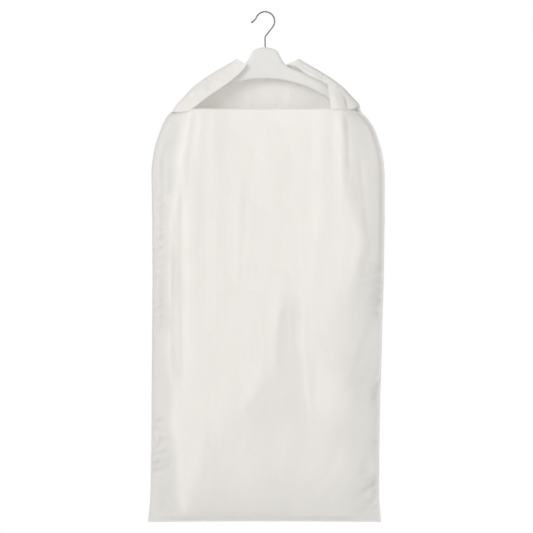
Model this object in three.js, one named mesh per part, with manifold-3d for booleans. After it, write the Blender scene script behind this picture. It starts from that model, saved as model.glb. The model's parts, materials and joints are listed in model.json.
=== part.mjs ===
// A film garment bag on its hanger. Millimetres, +Z up, the bag's front faces -Y, +X is to the right seen
// from the front. The origin is where the hook's bow rests on a rail, on the axis that the hook swivels about.
//
// The bag is two sheets of film, front and back, welded together round the sides and the bottom. The front
// sheet ends in a straight mouth. Above it the back sheet carries on to the neck cut-out, and a shoulder strip
// with a fold-back flap closes each front corner over the hanger's arm.
import * as THREE from "three";
import { mergeVertices } from "three/addons/utils/BufferGeometryUtils.js";
import Module from "manifold-3d";

// ---- Driving dimensions ----
const BAG_WIDTH = 600;
const BAG_BOTTOM = -1310;
const SHOULDER_RADIUS = 322; // each shoulder is one arc, from the neck peak to the straight side
const SHOULDER_SPRING = -425; // height at which that arc meets the straight side
const NECK_HALF_WIDTH = 84; // to the peaks beside the neck cut-out
const NECK_DIP = 20; // how far the cut-out's edge hangs below the peaks
const MOUTH_HEIGHT = -251; // top edge of the front sheet
const FILM = 0.6; // modelled film thickness
const SHEET_GAP = 0.4; // between two sheets that are welded on the real bag
const WELD = 6; // width of the flat welded margin
const FRONT_FULLNESS = 38; // how far the front stands off the weld plane
const BACK_FULLNESS = 30;
const SIDE_RISE = 180; // distance from a side weld over which the bag reaches its fullness
const BOTTOM_RISE = 650;
const SWEEP_FULL_ABOVE = -300; // the bag follows the hanger's whole sweep above this height
const SWEEP_LEAST_BELOW = -1100; // and only a share of it below this one
const LEAST_SWEEP = 0.25;

const FLAP_BOTTOM = -260; // the flaps hang a little over the mouth's edge
const FLAP_TOP_INSET = 25; // free edge of a flap, inward from the neck peak
const FLAP_TOP_DROP = 17; // and below that peak
const FLAP_BOTTOM_INSET = 51; // lower end of the free edge, inward from the fold line's lower end
const FOLD_INSET = WELD + 2; // from the shoulder's chord to the fold line
const FOLD_TOP_FORWARD = 15; // how far the fold line stands forward of the hook's axis, at each end
const FOLD_BOTTOM_FORWARD = 39;
const FREE_BOTTOM_FORWARD = 44.5; // the free edge's lower end passes in front of the mouth's edge
const FOLD_GAP = 0.8; // between a shoulder strip and its flap, at the fold
const STRIP_LIFT = 1.5; // of a shoulder strip's lower end above the front sheet, at the weld
const STRIP_SHARE = 0.93; // of the fold line's length that the strip takes, for the same reason

const HANGER_THICKNESS = 14;
const HANGER_EDGE = 4; // rounding of the hanger's edges
const ARM_RADIUS = 310; // top edge of both arms, one arc
const ARM_DEPTH = 34; // from the arms' top edge to their lower edge
const ARM_CENTRE = -447; // height of that arc's centre
const TIP_REACH = 228; // half the hanger's span
const TIP_SAG = 22; // how far the tips sweep forward, seen from above
const NECK_TOP = -89.7;
// Half of the neck's outline, as [distance from the axis, depth below the neck's top].
const NECK_DOME = [0, -5.2]; // control point of the curve over the top
const NECK_CREST = [25, 5.2]; // end of that curve
const NECK_CORNER = [30, 7.2]; // corner that the rounding cuts off
const NECK_SHOULDER = [33.3, 13.5]; // start of the straight flank
const NECK_WAIST = [43.8, 33]; // end of the flank
const NECK_HOLLOW = [53.3, 51]; // corner that the hollow curve down to the arm cuts off
const ARM_START = 78; // distance from the axis where that curve meets the arm

const WIRE_RADIUS = 1.75; // to the flats of the modelled wire
const WIRE_SIDES = 12;
const BOW_RADIUS = 24.5; // hook's bow, to the centre of the wire
const BOW_STEP = 7.75; // degrees between the bow's rings, which lie evenly either side of its top
const BOW_START = 90 + 8.5 * BOW_STEP; // degrees, where the bow meets the turned-out end
const BOW_END = 90 - 16.5 * BOW_STEP; // degrees, where it runs out straight towards the stem
const END_RADIUS = 26; // turned-out end of the wire
const END_TURN = 38; // degrees
const BEND_RADIUS = 9; // between the straight run and the stem
const BALL_RADIUS = 2.5; // rounded end of the wire
const HEAD_RADIUS = 2.6; // upset head that keeps the hook in its bush
const HEAD_HEIGHT = 2.4;
const BUSH_RADIUS = 3.6;
const BUSH_LENGTH = 22;
const BUSH_POCKET_RADIUS = 3.0; // turning room for the head, at the bush's lower end
const BUSH_POCKET_DEPTH = 4;
const RUNNING_GAP = 0.3;

// ---- How finely the meshes are divided ----
const PANEL_COLUMNS = 20;
const FRONT_SHOULDER_ROWS = 4; // down the shoulder's arc
const BACK_SHOULDER_ROWS = 8;
const STRAIGHT_ROWS = 10; // down the straight sides
const STRIP_CELLS = [24, 3]; // along the fold and across it: enough that its twisted cells stay thin
const FLAP_CELLS = [6, 1];
const CURVE_STEPS = 10; // of each curve in the hanger's outline
const EDGE_STEPS = 2; // of the hanger's rounded edges
const END_STEPS = 6; // of the hook's turned-out end
const BEND_STEPS = 4;
const BALL_SIDES = 14;
const BALL_ROWS = 10;
const ROUND_SIDES = 24; // of the bush, its bore and the hook's head
const MERGE_DISTANCE = 1e-4;

const wasm = await Module();
wasm.setup();

const LEFT = -1;
const RIGHT = 1;
const degrees = THREE.MathUtils.degToRad;

// ---- Materials ----
const filmMaterial = new THREE.MeshStandardMaterial({
  color: 0xece9e4,
  roughness: 0.55,
  transparent: true,
  opacity: 0.85,
});
const hangerMaterial = new THREE.MeshStandardMaterial({ color: 0xe6e6e4, roughness: 0.45 });
const bushMaterial = new THREE.MeshStandardMaterial({ color: 0xf2f2f0, roughness: 0.5 });
const wireMaterial = new THREE.MeshStandardMaterial({ color: 0x8c8a86, roughness: 0.3, metalness: 1 });

function mesh(name, geometry, material) {
  const made = new THREE.Mesh(geometry, material);
  made.name = name;
  return made;
}

// ---- Solids ----
function solid(geometry) {
  const plain = geometry.clone();
  plain.deleteAttribute("normal");
  plain.deleteAttribute("uv");
  const merged = mergeVertices(plain, MERGE_DISTANCE);
  return new wasm.Manifold(
    new wasm.Mesh({
      numProp: 3,
      vertProperties: new Float32Array(merged.getAttribute("position").array),
      triVerts: new Uint32Array(merged.index.array),
    }),
  );
}

function geometryOf(manifold) {
  const { vertProperties, triVerts } = manifold.getMesh();
  const geometry = new THREE.BufferGeometry();
  geometry.setAttribute("position", new THREE.BufferAttribute(vertProperties, 3));
  geometry.setIndex(new THREE.BufferAttribute(triVerts, 1));
  geometry.computeVertexNormals();
  return geometry;
}

// A box of columns by rows cells, bent into a thin closed sheet. place(column, row, face) gives each corner's
// point, where face is 1 on the front face and -1 on the back one, and row 0 is the top row.
function sheet(columns, rows, place) {
  const geometry = new THREE.BoxGeometry(columns, rows, 2, columns, rows, 1);
  const position = geometry.getAttribute("position");
  for (let i = 0; i < position.count; i++) {
    const column = Math.round(position.getX(i) + columns / 2);
    const row = Math.round(rows / 2 - position.getY(i));
    const point = place(column, row, position.getZ(i));
    position.setXYZ(i, point.x, point.y, point.z);
  }
  geometry.computeVertexNormals();
  return geometry;
}

// ---- The bag's form ----
// Seen from above, the hanger and the bag on it are one shallow arc that brings both sides forward.
const PLAN_RADIUS = (TIP_REACH ** 2 + TIP_SAG ** 2) / (2 * TIP_SAG);
const planSag = (x) => PLAN_RADIUS - Math.sqrt(PLAN_RADIUS ** 2 - x ** 2);

// The weld plane keeps the hanger's sweep at the shoulders and loses most of it by the bottom.
function weldPlane(x, z) {
  const share = THREE.MathUtils.smoothstep(z, SWEEP_LEAST_BELOW, SWEEP_FULL_ABOVE);
  const sweep = THREE.MathUtils.lerp(LEAST_SWEEP, 1, share);
  return -planSag(x) * sweep;
}

const SHOULDER_CENTRE = BAG_WIDTH / 2 - SHOULDER_RADIUS; // x of the right shoulder's arc centre
const NECK_PEAK_RISE = Math.sqrt(SHOULDER_RADIUS ** 2 - (NECK_HALF_WIDTH - SHOULDER_CENTRE) ** 2);
const NECK_PEAK = SHOULDER_SPRING + NECK_PEAK_RISE;

function halfWidth(z) {
  const above = Math.max(z - SHOULDER_SPRING, 0);
  return SHOULDER_CENTRE + Math.sqrt(SHOULDER_RADIUS ** 2 - above ** 2);
}

function distanceToSide(x, z) {
  const above = Math.max(z - SHOULDER_SPRING, 0);
  return SHOULDER_RADIUS - Math.hypot(Math.abs(x) - SHOULDER_CENTRE, above);
}

// Rises from 0 to 1 along a quarter of an ellipse.
function quarterEllipse(share) {
  const t = THREE.MathUtils.clamp(share, 0, 1);
  return Math.sqrt(1 - (1 - t) ** 2);
}

// 0 at the welds, 1 where the bag is at its fullest.
function fullness(x, z) {
  const side = quarterEllipse((distanceToSide(x, z) - WELD) / SIDE_RISE);
  const bottom = quarterEllipse((z - BAG_BOTTOM - WELD) / BOTTOM_RISE);
  return side * bottom;
}

const frontInside = (x, z) => weldPlane(x, z) - SHEET_GAP / 2 - FRONT_FULLNESS * fullness(x, z);
const backInside = (x, z) => weldPlane(x, z) + SHEET_GAP / 2 + BACK_FULLNESS * fullness(x, z);

// Heights of a panel's rows: even turns down the shoulder arc, then down the straight side to the weld.
function rowHeights(top, shoulderRows) {
  const start = Math.asin((top - SHOULDER_SPRING) / SHOULDER_RADIUS);
  const heights = [];
  for (let i = 0; i < shoulderRows; i++) {
    heights.push(SHOULDER_SPRING + SHOULDER_RADIUS * Math.sin(start * (1 - i / shoulderRows)));
  }
  const weldTop = BAG_BOTTOM + WELD;
  for (let i = 0; i <= STRAIGHT_ROWS; i++) {
    heights.push(THREE.MathUtils.lerp(SHOULDER_SPRING, weldTop, i / STRAIGHT_ROWS));
  }
  heights.push(BAG_BOTTOM);
  return heights;
}

// Columns crowd towards both sides, where the film turns in to its weld.
function columnX(column, z) {
  return halfWidth(z) * Math.sin(degrees(90) * ((2 * column) / PANEL_COLUMNS - 1));
}

function backPanel() {
  const heights = rowHeights(NECK_PEAK, BACK_SHOULDER_ROWS);
  return sheet(PANEL_COLUMNS, heights.length - 1, (column, row, face) => {
    const x = columnX(column, heights[row]);
    const dip = row === 0 ? NECK_DIP * (1 - (x / NECK_HALF_WIDTH) ** 2) : 0;
    const z = heights[row] - dip;
    const y = backInside(x, z) + (face < 0 ? FILM : 0);
    return new THREE.Vector3(x, y, z);
  });
}

function frontPanel() {
  const heights = rowHeights(MOUTH_HEIGHT, FRONT_SHOULDER_ROWS);
  return sheet(PANEL_COLUMNS, heights.length - 1, (column, row, face) => {
    const z = heights[row];
    const x = columnX(column, z);
    const y = frontInside(x, z) - (face > 0 ? FILM : 0);
    return new THREE.Vector3(x, y, z);
  });
}

// ---- Shoulder strips and flaps ----
// The fold line is straight, just inside the shoulder's chord, and runs forward as it goes down.
const chord = new THREE.Vector2(halfWidth(FLAP_BOTTOM) - NECK_HALF_WIDTH, FLAP_BOTTOM - NECK_PEAK);
const inward = new THREE.Vector2(chord.y, -chord.x).normalize();
const foldTop = new THREE.Vector3(
  NECK_HALF_WIDTH + inward.x * FOLD_INSET, -FOLD_TOP_FORWARD, NECK_PEAK + inward.y * FOLD_INSET,
);
const foldBottom = new THREE.Vector3(
  halfWidth(FLAP_BOTTOM) + inward.x * FOLD_INSET, -FOLD_BOTTOM_FORWARD, FLAP_BOTTOM,
);
const freeTop = new THREE.Vector2(NECK_HALF_WIDTH - FLAP_TOP_INSET, NECK_PEAK - FLAP_TOP_DROP);
const freeBottom = new THREE.Vector3(foldBottom.x - FLAP_BOTTOM_INSET, -FREE_BOTTOM_FORWARD, FLAP_BOTTOM);
const flapPlane = new THREE.Plane().setFromCoplanarPoints(foldTop, foldBottom, freeBottom);
const flapFront = flapPlane.normal.clone().multiplyScalar(-Math.sign(flapPlane.normal.y));

function onFlapPlane(x, z) {
  const { normal, constant } = flapPlane;
  return new THREE.Vector3(x, -(normal.x * x + normal.z * z + constant) / normal.y, z);
}

// The sheet between two edges of the right corner, each given as a function of the share of its length from
// the neck. front(outer, inner) is the sheet's outward direction there. side is LEFT or RIGHT: the left piece
// mirrors the right one.
function cornerSheet(side, [columns, rows], outerEdge, innerEdge, front) {
  return sheet(columns, rows, (column, row, face) => {
    const share = (side === RIGHT ? column : columns - column) / columns;
    const outer = outerEdge(share);
    const inner = innerEdge(share);
    const point = outer.clone().lerp(inner, row / rows);
    if (face > 0) point.addScaledVector(front(outer, inner), FILM);
    return new THREE.Vector3(side * point.x, point.y, point.z);
  });
}

const foldAt = (share) => foldTop.clone().lerp(foldBottom, share);
const foldDirection = foldBottom.clone().sub(foldTop).normalize();
const awayFromFold = (fold, far) => fold.addScaledVector(far.clone().sub(fold).normalize(), FOLD_GAP / 2);

// The strip ends just above the front sheet, so it takes a little less than the fold line's whole length.
function shoulderStrip(side) {
  const neckAngle = Math.asin((NECK_PEAK - SHOULDER_SPRING) / SHOULDER_RADIUS);
  const mouthAngle = Math.asin((MOUTH_HEIGHT + STRIP_LIFT - SHOULDER_SPRING) / SHOULDER_RADIUS);
  const seam = (share) => {
    const angle = THREE.MathUtils.lerp(neckAngle, mouthAngle, share);
    const x = SHOULDER_CENTRE + SHOULDER_RADIUS * Math.cos(angle);
    const z = SHOULDER_SPRING + SHOULDER_RADIUS * Math.sin(angle);
    return new THREE.Vector3(x, weldPlane(x, z) - SHEET_GAP / 2, z);
  };
  const fold = (share) => awayFromFold(foldAt(share * STRIP_SHARE), seam(share));
  const front = (outer, inner) => inner.clone().sub(outer).cross(foldDirection).normalize();
  return cornerSheet(side, STRIP_CELLS, seam, fold, front);
}

function flap(side) {
  const free = (share) => {
    const x = THREE.MathUtils.lerp(freeTop.x, freeBottom.x, share);
    const z = THREE.MathUtils.lerp(freeTop.y, freeBottom.z, share);
    return onFlapPlane(x, z);
  };
  const fold = (share) => awayFromFold(foldAt(share), free(share));
  return cornerSheet(side, FLAP_CELLS, fold, free, () => flapFront);
}

// ---- Hanger ----
const TIP_RADIUS = ARM_DEPTH / 2;
const TIP_ANGLE = Math.acos((TIP_REACH - TIP_RADIUS) / (ARM_RADIUS - TIP_RADIUS));

function hangerOutline() {
  const neck = ([x, depth], side) => [side * x, NECK_TOP - depth];
  const armStart = Math.acos(ARM_START / ARM_RADIUS);
  const tipX = (ARM_RADIUS - TIP_RADIUS) * Math.cos(TIP_ANGLE);
  const tipZ = ARM_CENTRE + (ARM_RADIUS - TIP_RADIUS) * Math.sin(TIP_ANGLE);
  const shape = new THREE.Shape();
  shape.moveTo(...neck(NECK_CREST, LEFT));
  shape.quadraticCurveTo(...neck(NECK_DOME, RIGHT), ...neck(NECK_CREST, RIGHT));
  shape.quadraticCurveTo(...neck(NECK_CORNER, RIGHT), ...neck(NECK_SHOULDER, RIGHT));
  shape.lineTo(...neck(NECK_WAIST, RIGHT));
  shape.quadraticCurveTo(
    ...neck(NECK_HOLLOW, RIGHT), ARM_START, ARM_CENTRE + ARM_RADIUS * Math.sin(armStart),
  );
  shape.absarc(0, ARM_CENTRE, ARM_RADIUS, armStart, TIP_ANGLE, true);
  shape.absarc(tipX, tipZ, TIP_RADIUS, TIP_ANGLE, TIP_ANGLE - Math.PI, true);
  shape.absarc(0, ARM_CENTRE, ARM_RADIUS - ARM_DEPTH, TIP_ANGLE, Math.PI - TIP_ANGLE, false);
  shape.absarc(-tipX, tipZ, TIP_RADIUS, 2 * Math.PI - TIP_ANGLE, Math.PI - TIP_ANGLE, true);
  shape.absarc(0, ARM_CENTRE, ARM_RADIUS, Math.PI - TIP_ANGLE, Math.PI - armStart, true);
  shape.quadraticCurveTo(...neck(NECK_HOLLOW, LEFT), ...neck(NECK_WAIST, LEFT));
  shape.lineTo(...neck(NECK_SHOULDER, LEFT));
  shape.quadraticCurveTo(...neck(NECK_CORNER, LEFT), ...neck(NECK_CREST, LEFT));
  return shape;
}

function hangerBody() {
  const geometry = new THREE.ExtrudeGeometry(hangerOutline(), {
    depth: HANGER_THICKNESS - 2 * HANGER_EDGE,
    bevelThickness: HANGER_EDGE,
    bevelSize: HANGER_EDGE,
    bevelOffset: -HANGER_EDGE,
    bevelSegments: EDGE_STEPS,
    curveSegments: CURVE_STEPS,
  });
  geometry.translate(0, 0, HANGER_EDGE - HANGER_THICKNESS / 2);
  geometry.rotateX(degrees(90));
  const position = geometry.getAttribute("position");
  for (let i = 0; i < position.count; i++) {
    position.setY(i, position.getY(i) - planSag(position.getX(i)));
  }
  const boreDepth = BUSH_LENGTH + RUNNING_GAP;
  const boreRadius = BUSH_RADIUS + RUNNING_GAP;
  const bore = new THREE.CylinderGeometry(boreRadius, boreRadius, 2 * boreDepth, ROUND_SIDES);
  bore.rotateX(degrees(90));
  bore.translate(0, 0, NECK_TOP);
  return geometryOf(solid(geometry).subtract(solid(bore)));
}

// A sleeve set into the neck: the wire runs in its bore and the hook's head turns in the wider pocket below.
function hookBush() {
  const bore = WIRE_RADIUS / Math.cos(Math.PI / WIRE_SIDES) + RUNNING_GAP;
  const bottom = NECK_TOP - BUSH_LENGTH;
  const pocketTop = bottom + BUSH_POCKET_DEPTH;
  const profile = [
    [bore, NECK_TOP],
    [bore, pocketTop],
    [BUSH_POCKET_RADIUS, pocketTop],
    [BUSH_POCKET_RADIUS, bottom],
    [BUSH_RADIUS, bottom],
    [BUSH_RADIUS, NECK_TOP],
    [bore, NECK_TOP],
  ].map(([radius, height]) => new THREE.Vector2(radius, height));
  const geometry = new THREE.LatheGeometry(profile, ROUND_SIDES);
  geometry.rotateX(degrees(90));
  return geometry;
}

// ---- Hook ----
// The bow's centre is set so that the inner flat at its top lies at z = 0.
const BOW_CENTRE = -(BOW_RADIUS - WIRE_RADIUS) * Math.cos(degrees(BOW_STEP / 2));
const HEAD_TOP = NECK_TOP - BUSH_LENGTH + BUSH_POCKET_DEPTH - RUNNING_GAP;

// Points on an arc about a centre in the XZ plane, from one angle to another in degrees, both ends included.
function arcPoints(centreX, centreZ, radius, from, to, steps) {
  const points = [];
  for (let i = 0; i <= steps; i++) {
    const angle = degrees(THREE.MathUtils.lerp(from, to, i / steps));
    points.push(new THREE.Vector2(centreX + radius * Math.cos(angle), centreZ + radius * Math.sin(angle)));
  }
  return points;
}

// The wire's centre line in the XZ plane, from its rounded end to its head.
function hookPath() {
  const bow = arcPoints(0, BOW_CENTRE, BOW_RADIUS, BOW_START, BOW_END, (BOW_START - BOW_END) / BOW_STEP);

  // The turned-out end curves the other way, so its centre lies outside the bow.
  const endReach = BOW_RADIUS + END_RADIUS;
  const endX = endReach * Math.cos(degrees(BOW_START));
  const endZ = BOW_CENTRE + endReach * Math.sin(degrees(BOW_START));
  const end = arcPoints(endX, endZ, END_RADIUS, BOW_START - 180 - END_TURN, BOW_START - 180, END_STEPS);
  end.pop(); // the bow's first point

  const leave = bow[bow.length - 1];
  // The straight run would meet the stem at this height, and the bend rounds that corner.
  const cornerZ = leave.y + leave.x / Math.tan(degrees(BOW_END));
  const bendZ = cornerZ + BEND_RADIUS * Math.tan(degrees(BOW_END / 2));
  const bend = arcPoints(BEND_RADIUS, bendZ, BEND_RADIUS, 180 + BOW_END, 180, BEND_STEPS);

  const stemEnd = new THREE.Vector2(0, HEAD_TOP - RUNNING_GAP);
  return [...end, ...bow, ...bend, stemEnd];
}

// A cylinder whose rings are laid square across the path.
function wire(path) {
  const ringRadius = WIRE_RADIUS / Math.cos(Math.PI / WIRE_SIDES);
  const last = path.length - 1;
  const geometry = new THREE.CylinderGeometry(
    ringRadius, ringRadius, last, WIRE_SIDES, last, false, Math.PI / WIRE_SIDES,
  );
  const position = geometry.getAttribute("position");
  for (let i = 0; i < position.count; i++) {
    const ring = Math.round(last / 2 - position.getY(i));
    const ahead = path[Math.min(ring + 1, last)];
    const behind = path[Math.max(ring - 1, 0)];
    const tangent = ahead.clone().sub(behind).normalize();
    const sideways = position.getX(i);
    const point = path[ring].clone().add(new THREE.Vector2(tangent.y, -tangent.x).multiplyScalar(sideways));
    position.setXYZ(i, point.x, position.getZ(i), point.y);
  }
  return geometry;
}

function hook() {
  const path = hookPath();
  const ball = new THREE.SphereGeometry(BALL_RADIUS, BALL_SIDES, BALL_ROWS);
  ball.translate(path[0].x, 0, path[0].y);
  const head = new THREE.CylinderGeometry(HEAD_RADIUS, HEAD_RADIUS, HEAD_HEIGHT, ROUND_SIDES);
  head.rotateX(degrees(90));
  head.translate(0, 0, HEAD_TOP - HEAD_HEIGHT / 2);
  return geometryOf(solid(wire(path)).add(solid(ball)).add(solid(head)));
}

// ---- Assembly: the bag on its hanger turns below the hook ----
const bag = new THREE.Group();
bag.add(mesh("back_panel", backPanel(), filmMaterial));
bag.add(mesh("front_panel", frontPanel(), filmMaterial));
bag.add(mesh("left_shoulder_strip", shoulderStrip(LEFT), filmMaterial));
bag.add(mesh("right_shoulder_strip", shoulderStrip(RIGHT), filmMaterial));
bag.add(mesh("left_flap", flap(LEFT), filmMaterial));
bag.add(mesh("right_flap", flap(RIGHT), filmMaterial));

const hanger = new THREE.Group();
hanger.add(mesh("hanger_body", hangerBody(), hangerMaterial));
hanger.add(mesh("hook_bush", hookBush(), bushMaterial));

const garmentBag = new THREE.Group();
garmentBag.add(mesh("hook", hook(), wireMaterial));
garmentBag.add(hanger);
garmentBag.add(bag);

export default garmentBag;
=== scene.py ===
"""A film garment bag on its hanger. Lengths are in millimetres until a mesh is made. Each sheet of film
is a grid of points: its hanging form by formula, relaxed as cloth, then given its folds and puckers."""

import json
import math

import bpy
import numpy as np
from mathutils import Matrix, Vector


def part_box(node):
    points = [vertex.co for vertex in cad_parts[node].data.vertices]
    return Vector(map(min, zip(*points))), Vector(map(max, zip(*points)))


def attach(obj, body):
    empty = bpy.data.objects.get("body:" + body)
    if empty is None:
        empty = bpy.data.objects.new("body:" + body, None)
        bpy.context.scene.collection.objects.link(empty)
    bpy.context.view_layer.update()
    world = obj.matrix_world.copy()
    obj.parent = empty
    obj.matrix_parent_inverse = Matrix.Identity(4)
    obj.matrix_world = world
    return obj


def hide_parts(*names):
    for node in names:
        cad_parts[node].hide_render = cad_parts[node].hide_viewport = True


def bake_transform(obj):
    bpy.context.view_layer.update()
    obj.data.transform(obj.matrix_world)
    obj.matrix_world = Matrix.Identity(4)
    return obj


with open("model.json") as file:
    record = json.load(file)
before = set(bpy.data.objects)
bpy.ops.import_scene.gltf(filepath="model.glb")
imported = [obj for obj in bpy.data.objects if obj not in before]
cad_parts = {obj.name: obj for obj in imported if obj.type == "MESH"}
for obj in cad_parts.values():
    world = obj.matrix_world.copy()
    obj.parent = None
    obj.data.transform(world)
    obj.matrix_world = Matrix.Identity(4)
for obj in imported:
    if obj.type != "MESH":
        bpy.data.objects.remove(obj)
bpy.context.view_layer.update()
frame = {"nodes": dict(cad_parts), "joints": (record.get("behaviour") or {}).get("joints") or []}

METRES = 0.001
FRONT = -1.0
BACK = 1.0
LEFT = -1.0
RIGHT = 1.0


def cad_box_mm(node):
    """Low and high corners of a CAD piece, in millimetres."""
    low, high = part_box(node)
    return np.array(low) / METRES, np.array(high) / METRES


# ---- Places and sizes, from the frame where it holds them ----
back_low, back_high = cad_box_mm("back_panel")
_, front_high = cad_box_mm("front_panel")
hanger_low, hanger_high = cad_box_mm("hanger_body")
hook_low, _ = cad_box_mm("hook")
sleeve_low, sleeve_high = cad_box_mm("hook_bush")

BAG_HALF = back_high[0]
BAG_BOTTOM = back_low[2]
NECK_PEAK = back_high[2]
MOUTH = front_high[2]
HANGER_TIP = hanger_high[0]
HANGER_SAG = 22.0  # how far the hanger's tips sweep forward
HANGER_HALF_THICKNESS = hanger_high[1]
SHOULDER_RADIUS = 322.0
SHOULDER_SPRING = -425.0  # where the shoulder's arc meets the straight side
WELD = 6.0  # width of the welded margin
SHEET_GAP = 0.5  # between the two sheets in that margin
FILM = 0.4  # thickness, more than the real film's so that it stays a sound solid


# ---- Small helpers ----
def ease(value, low, high):
    """0 below low, 1 above high, smooth between them."""
    t = np.clip((value - low) / (high - low), 0.0, 1.0)
    return t * t * (3.0 - 2.0 * t)


def quarter_ellipse(share):
    """Rises from 0 to 1 like a quarter of an ellipse, steepest at 0."""
    t = np.clip(share, 0.0, 1.0)
    return np.sqrt(1.0 - (1.0 - t) ** 2)


def along(pairs, value):
    """Interpolates a table of (value, result) pairs, in any order."""
    values, results = zip(*sorted(pairs))
    return np.interp(value, values, results)


WAVES_PER_OCTAVE = 3
OCTAVE_SHARE = 0.55  # the size of each octave, as a share of the one before


def wave_noise(u, v, seed, octaves=4):
    """Smooth noise of about unit size: turned sine waves, the longest of them one unit of u and v long."""
    random = np.random.default_rng(seed)
    total = np.zeros(np.broadcast(u, v).shape)
    size = 1.0
    for octave in range(octaves):
        for _ in range(WAVES_PER_OCTAVE):
            turn, shift = random.uniform(0.0, 2.0 * math.pi, 2)
            phase = (u * math.cos(turn) + v * math.sin(turn)) * 2.0 * math.pi * 2.0**octave
            total += size * np.sin(phase + shift) / WAVES_PER_OCTAVE
        size *= OCTAVE_SHARE
    return total


# ---- The bag's outline ----
LEAN = (  # how far the bag hangs to the right of the hook, as (height, shift)
    (BAG_BOTTOM, -1.5), (-1000.0, 2.0), (-700.0, 7.5), (-560.0, 8.5), (-300.0, 6.5), (-264.0, 2.5),
    (-238.0, 7.5),
)
DRAW_IN = (  # how far each edge is drawn in from the outline that the bag is cut to, as (height, distance)
    (BAG_BOTTOM, 0.5), (-1255.0, 6.0), (-1100.0, 7.0), (-700.0, 4.0), (-430.0, 2.0), (-290.0, 3.0),
    (-264.0, 7.0), (-238.0, 1.0), (-215.0, 4.5), (-190.0, 4.0), (-160.0, 9.0), (-140.0, 10.0),
    (-128.0, 5.0), (NECK_PEAK, -3.0),
)
CORNER_END = -260.0  # lower end of the corner pieces
CORNER_STEP = 6.0  # above that the outline, which their seams follow, lies this much further in
CORNER_STEP_AT = (CORNER_END - 8.0, CORNER_END + 6.0)  # it moves in between these heights


def half_width(z):
    """Half the bag's width at a height: straight sides, then the shoulder's arc."""
    above = np.maximum(z - SHOULDER_SPRING, 0.0)
    cut = BAG_HALF - SHOULDER_RADIUS + np.sqrt(np.maximum(SHOULDER_RADIUS**2 - above**2, 0.0))
    step = CORNER_STEP * ease(z, *CORNER_STEP_AT)
    return cut - step - along(DRAW_IN, z)


def centre_x(z):
    """Where the middle between the bag's two edges hangs at a height."""
    return along(LEAN, z)


# Of the hanger's curve, seen from above.
PLAN_RADIUS = (HANGER_TIP**2 + HANGER_SAG**2) / (2.0 * HANGER_SAG)


def plan_sag(x):
    """How far the hanger's curve has come forward at x."""
    return PLAN_RADIUS - np.sqrt(PLAN_RADIUS**2 - x**2)


BOTTOM_SWEEP = 0.25  # share of the hanger's forward sweep that is left at the bag's bottom
SWEEP_CHANGE = (-1100.0, -300.0)  # the rest is lost between these heights
FLUTTER = 1.6  # how far a welded edge waves fore and aft
FLUTTER_WIDTH = 90.0  # it reaches this far in from the edge
FLUTTER_START = (300.0, 420.0)  # it sets in between these depths below the hook's top
FLUTTER_FADE = 60.0  # it dies away over this height above the bottom weld
FLUTTER_WAVES = ((31.0, 2.0, 1.0), (13.0, 1.0, 0.6))  # (height of a radian, shift, size)


def weld_plane(x, z):
    """Where the bag's side welds hang, fore and aft: along the hanger's curve, but flatter lower down."""
    sweep = BOTTOM_SWEEP + (1.0 - BOTTOM_SWEEP) * ease(z, *SWEEP_CHANGE)
    return -plan_sag(x) * sweep


def flutter(z, side):
    """Fore and aft wave of a welded edge below the shoulders."""
    wave = sum(size * np.sin(z / radian + shift * side) for radian, shift, size in FLUTTER_WAVES)
    return FLUTTER * wave * ease(-z, *FLUTTER_START) * ease(z, BAG_BOTTOM, BAG_BOTTOM + FLUTTER_FADE)


# ---- How full the bag hangs ----
# The edges of what the film lies over, as (height, sideways place): the bag hangs full between them.
FULL_LEFT = (
    (-1290.0, -218.0), (-1180.0, -226.0), (-1060.0, -240.0), (-850.0, -250.0), (-560.0, -248.0),
    (-440.0, -226.0), (-270.0, -210.0),
)
FULL_RIGHT = (
    (-1060.0, 226.0), (-960.0, 205.0), (-900.0, 160.0), (-820.0, 160.0), (-670.0, 240.0), (-580.0, 256.0),
    (-450.0, 218.0), (-270.0, 206.0),
)
# Its lower end, as (sideways place, height).
FULL_BELOW = (
    (-240.0, -1300.0), (-205.0, -1280.0), (-125.0, -1090.0), (-60.0, -1015.0), (130.0, -1035.0),
    (230.0, -1050.0),
)
# Two sides of the gap that opens in it towards the bottom.
PART_TOP = -690.0
PART_LEFT = ((-1015.0, -48.0), (-946.0, 4.0), (-866.0, 24.0), (-785.0, 32.0), (PART_TOP, 66.0))
PART_RIGHT = ((-1015.0, 112.0), (-946.0, 96.0), (-785.0, 93.0), (PART_TOP, 88.0))
PART_LEFT_CHANGE = (-15.0, 15.0)  # the film sinks between these distances inside the gap's sides
PART_RIGHT_CHANGE = (-7.0, 9.0)
PART_LEAD = 10.0  # the gap sets in this far above its top
PART_FADE = 100.0  # and comes in over this height
PART_DEPTH = 0.85  # how far the film sinks into it, as a share
FULL_WIDER = 1.7  # the film's form changes more gently than its look, since it bridges the edges
FULL_SOFT = 11.0  # the change takes this distance to each side of an edge
FULL_RIGHT_SOFTER = 22.0  # added to that low on the right
FULL_RIGHT_SOFTER_AT = (640.0, 760.0)  # between these depths below the hook's top
FULL_BELOW_SOFT = 45.0
SIDE_WANDER = 6.0  # how far the edges wander sideways
BELOW_WANDER = 9.0


def parting(x, z, soft):
    """1 in the gap, which has no lower end of its own."""
    right_of_left = ease((x - along(PART_LEFT, z)) / soft, *PART_LEFT_CHANGE)
    left_of_right = ease((along(PART_RIGHT, z) - x) / soft, *PART_RIGHT_CHANGE)
    start = -PART_TOP - PART_LEAD
    return right_of_left * left_of_right * ease(-z, start, start + PART_FADE)


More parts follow.
